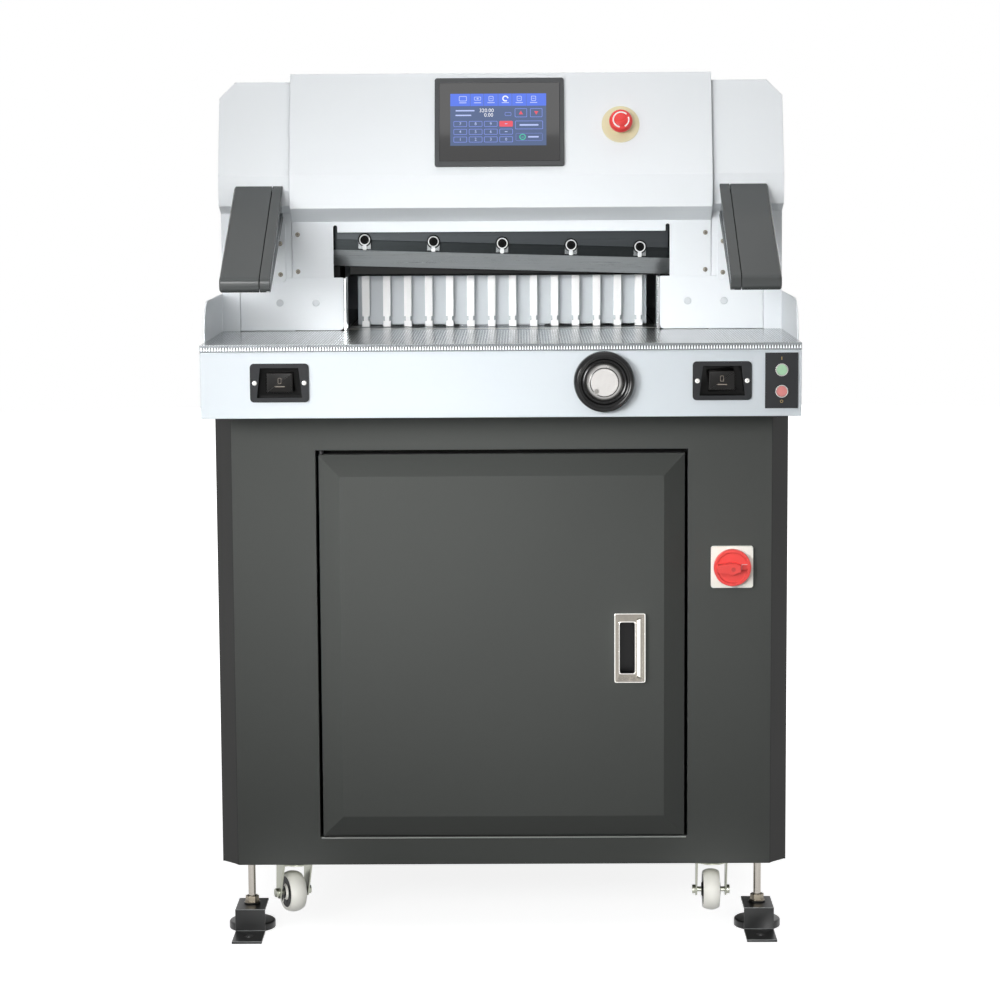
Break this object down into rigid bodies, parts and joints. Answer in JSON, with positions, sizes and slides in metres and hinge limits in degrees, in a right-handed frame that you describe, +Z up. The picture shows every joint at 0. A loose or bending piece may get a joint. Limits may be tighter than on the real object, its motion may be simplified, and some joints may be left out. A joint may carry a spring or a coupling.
{
  "type": "electric paper cutter",
  "caption": "Floor-standing guillotine with a touch screen, hydraulic knife and clamp, powered backgauge, light-curtain arms and a grooved table on a cabinet.",
  "frame": {"origin": "on the floor, in the middle of the four floor bolts and of the cabinet", "axes": "+Z up, +X to the operator's right, -Y towards the operator"},
  "size_m": [0.902, 0.9835, 1.3433],
  "materials": {
    "arm_grey": "satin dark grey paint",
    "bar_aluminium": "anodised",
    "black_paint": "satin black",
    "black_plastic": "fine moulded black",
    "button_green": "pale green translucent",
    "button_red": "pale red translucent",
    "charcoal_paint": "satin powder coat, charcoal",
    "comb_white": "white satin enamel",
    "dark_plastic": "matt dark grey",
    "frame_steel": "machined steel",
    "grooved_steel": "finely grooved, bright",
    "knife_dark": "dark ground steel with a bright streak",
    "machine_grey": "hammered grey",
    "machined_bright": "polished and plated",
    "nickel": "satin nickel",
    "nylon": "cream nylon",
    "screen_glass": "glossy dark glass",
    "stainless": "bright stainless",
    "stick_plastic": "soft cutting stick",
    "stop_red": "red",
    "stop_yellow": "pale yellow",
    "switch_cream": "cream",
    "switch_red": "red",
    "white_paint": "smooth satin powder coat, cool white",
    "zinc": "zinc plated"
  },
  "bodies": {
    "root": {"cabinet_front": "charcoal_paint", "cabinet_sides": "charcoal_paint", "cabinet_rear_panel": "charcoal_paint", "cabinet_base": "charcoal_paint", "cabinet_top_plate": "charcoal_paint", "door_hinges": "zinc", "main_frame": "frame_steel", "work_table": "grooved_steel", "table_apron": "white_paint", "cutting_stick": "stick_plastic", "side_fences": "white_paint", "lower_mouth_panels": "white_paint", "upper_mouth_panel": "white_paint", "side_gauges": "machined_bright", "head_centre_cover": "white_paint", "side_housings": "white_paint", "rear_hood": "white_paint", "curtain_arms": "arm_grey", "curtain_bars": "bar_aluminium", "panel_screws": "machined_bright", "touch_screen_bezel": "black_plastic", "touch_screen_glass": "screen_glass", "estop_base": "stop_yellow", "button_plate": "dark_plastic", "cut_button_housings": "dark_plastic", "main_switch_plate": "switch_cream", "handwheel_encoder": "black_plastic", "backgauge_drive": "frame_steel", "hydraulic_unit": "machine_grey", "hydraulic_cylinders": "frame_steel", "control_box": "machine_grey", "caster_mounts": "zinc"},
    "cabinet_door": {"cabinet_door": "charcoal_paint", "door_handle": "nickel"},
    "main_switch_knob": {"main_switch_knob": "switch_red"},
    "estop_plunger": {"estop_plunger": "black_plastic"},
    "estop_head": {"estop_head": "stop_red"},
    "knife_slider": {"knife_slider": "black_paint"},
    "knife_carrier": {"knife_carrier": "knife_dark", "knife_blade": "knife_dark", "knife_bolts": "machined_bright"},
    "clamp_beam": {"clamp_beam": "black_paint"},
    "backgauge": {"backgauge_comb": "comb_white", "backgauge_carriage": "frame_steel"},
    "backgauge_screw": {"backgauge_screw": "frame_steel"},
    "handwheel": {"handwheel": "black_plastic"},
    "cut_button_left": {"cut_button_left": "black_plastic"},
    "cut_button_right": {"cut_button_right": "black_plastic"},
    "start_button": {"start_button": "button_green"},
    "stop_button": {"stop_button": "button_red"},
    "caster_fork_front_left": {"caster_fork_front_left": "zinc"},
    "caster_fork_front_right": {"caster_fork_front_right": "zinc"},
    "caster_wheel_front_left": {"caster_wheel_front_left": "nylon"},
    "caster_wheel_front_right": {"caster_wheel_front_right": "nylon"},
    "caster_wheel_rear_left": {"caster_wheel_rear_left": "nylon"},
    "caster_wheel_rear_right": {"caster_wheel_rear_right": "nylon"},
    "foot_front_left": {"foot_front_left": "stainless"},
    "foot_front_right": {"foot_front_right": "stainless"},
    "foot_rear_left": {"foot_rear_left": "stainless"},
    "foot_rear_right": {"foot_rear_right": "stainless"}
  },
  "joints": [
    {"name": "door_hinge", "type": "hinge", "parent": "root", "child": "cabinet_door", "pos_m": [-0.2763, -0.347, 0.46165], "axis": [0, 0, -1], "range_deg": [0, 90]},
    {"name": "main_switch_turn", "type": "hinge", "parent": "root", "child": "main_switch_knob", "pos_m": [0.353, -0.3565, 0.584], "axis": [0, -1, 0], "range_deg": [0, 90]},
    {"name": "estop_press", "type": "slide", "parent": "root", "child": "estop_plunger", "axis": [0, 0.9511, -0.309], "range_m": [0, 0.005], "stiffness_N_per_m": 600, "springref_m": -0.003},
    {"name": "estop_twist", "type": "hinge", "parent": "estop_plunger", "child": "estop_head", "pos_m": [0.19, -0.14513, 1.26484], "axis": [0, 0.9511, -0.309], "range_deg": [0, 45], "stiffness_Nm_per_rad": 0.03},
    {"name": "knife_slide", "type": "slide", "parent": "root", "child": "knife_slider", "axis": [-0.4195, 0, -0.9078], "range_m": [0, 0.10381]},
    {"name": "knife_level", "type": "hinge", "parent": "knife_slider", "child": "knife_carrier", "pos_m": [0, -0.085, 1.1], "axis": [0, 1, 0], "range_deg": [-1.75, 0]},
    {"name": "clamp_slide", "type": "slide", "parent": "root", "child": "clamp_beam", "axis": [0, 0, -1], "range_m": [0, 0.0845]},
    {"name": "backgauge_slide", "type": "slide", "parent": "root", "child": "backgauge", "axis": [0, 1, 0], "range_m": [0, 0.415]},
    {"name": "leadscrew_turn", "type": "hinge", "parent": "root", "child": "backgauge_screw", "pos_m": [0, -0.043, 0.893], "axis": [0, 1, 0], "range_deg": [0, 14950]},
    {"name": "handwheel_turn", "type": "hinge", "parent": "root", "child": "handwheel", "pos_m": [0.154, -0.4485, 0.8785], "axis": [0, -1, 0], "continuous": true},
    {"name": "cut_button_left_press", "type": "slide", "parent": "root", "child": "cut_button_left", "axis": [0, 1, 0], "range_m": [0, 0.004], "stiffness_N_per_m": 500, "springref_m": -0.002},
    {"name": "cut_button_right_press", "type": "slide", "parent": "root", "child": "cut_button_right", "axis": [0, 1, 0], "range_m": [0, 0.004], "stiffness_N_per_m": 500, "springref_m": -0.002},
    {"name": "start_button_press", "type": "slide", "parent": "root", "child": "start_button", "axis": [0, 1, 0], "range_m": [0, 0.0025], "stiffness_N_per_m": 400, "springref_m": -0.002},
    {"name": "stop_button_press", "type": "slide", "parent": "root", "child": "stop_button", "axis": [0, 1, 0], "range_m": [0, 0.0025], "stiffness_N_per_m": 400, "springref_m": -0.002},
    {"name": "caster_swivel_front_left", "type": "hinge", "parent": "root", "child": "caster_fork_front_left", "pos_m": [-0.327, -0.3, 0.109], "axis": [0, 0, 1], "continuous": true},
    {"name": "caster_roll_front_left", "type": "hinge", "parent": "caster_fork_front_left", "child": "caster_wheel_front_left", "pos_m": [-0.33545, -0.28187, 0.0575], "axis": [0.9063, 0.4226, 0], "continuous": true},
    {"name": "caster_swivel_front_right", "type": "hinge", "parent": "root", "child": "caster_fork_front_right", "pos_m": [0.327, -0.3, 0.109], "axis": [0, 0, 1], "continuous": true},
    {"name": "caster_roll_front_right", "type": "hinge", "parent": "caster_fork_front_right", "child": "caster_wheel_front_right", "pos_m": [0.327, -0.28, 0.0575], "axis": [1, 0, 0], "continuous": true},
    {"name": "caster_roll_rear_left", "type": "hinge", "parent": "root", "child": "caster_wheel_rear_left", "pos_m": [-0.327, 0.3, 0.0575], "axis": [1, 0, 0], "continuous": true},
    {"name": "caster_roll_rear_right", "type": "hinge", "parent": "root", "child": "caster_wheel_rear_right", "pos_m": [0.327, 0.3, 0.0575], "axis": [1, 0, 0], "continuous": true},
    {"name": "foot_front_left_level", "type": "slide", "parent": "root", "child": "foot_front_left", "axis": [0, 0, -1], "range_m": [-0.03, 0.02]},
    {"name": "foot_rear_left_level", "type": "slide", "parent": "root", "child": "foot_rear_left", "axis": [0, 0, -1], "range_m": [-0.03, 0.02]},
    {"name": "foot_front_right_level", "type": "slide", "parent": "root", "child": "foot_front_right", "axis": [0, 0, -1], "range_m": [-0.03, 0.02]},
    {"name": "foot_rear_right_level", "type": "slide", "parent": "root", "child": "foot_rear_right", "axis": [0, 0, -1], "range_m": [-0.03, 0.02]}
  ],
  "couplings": [
    {"joint": "knife_level", "follows": "knife_slide", "rad_per_m": -0.29423},
    {"joint": "leadscrew_turn", "follows": "backgauge_slide", "rad_per_m": 628.32}
  ]
}
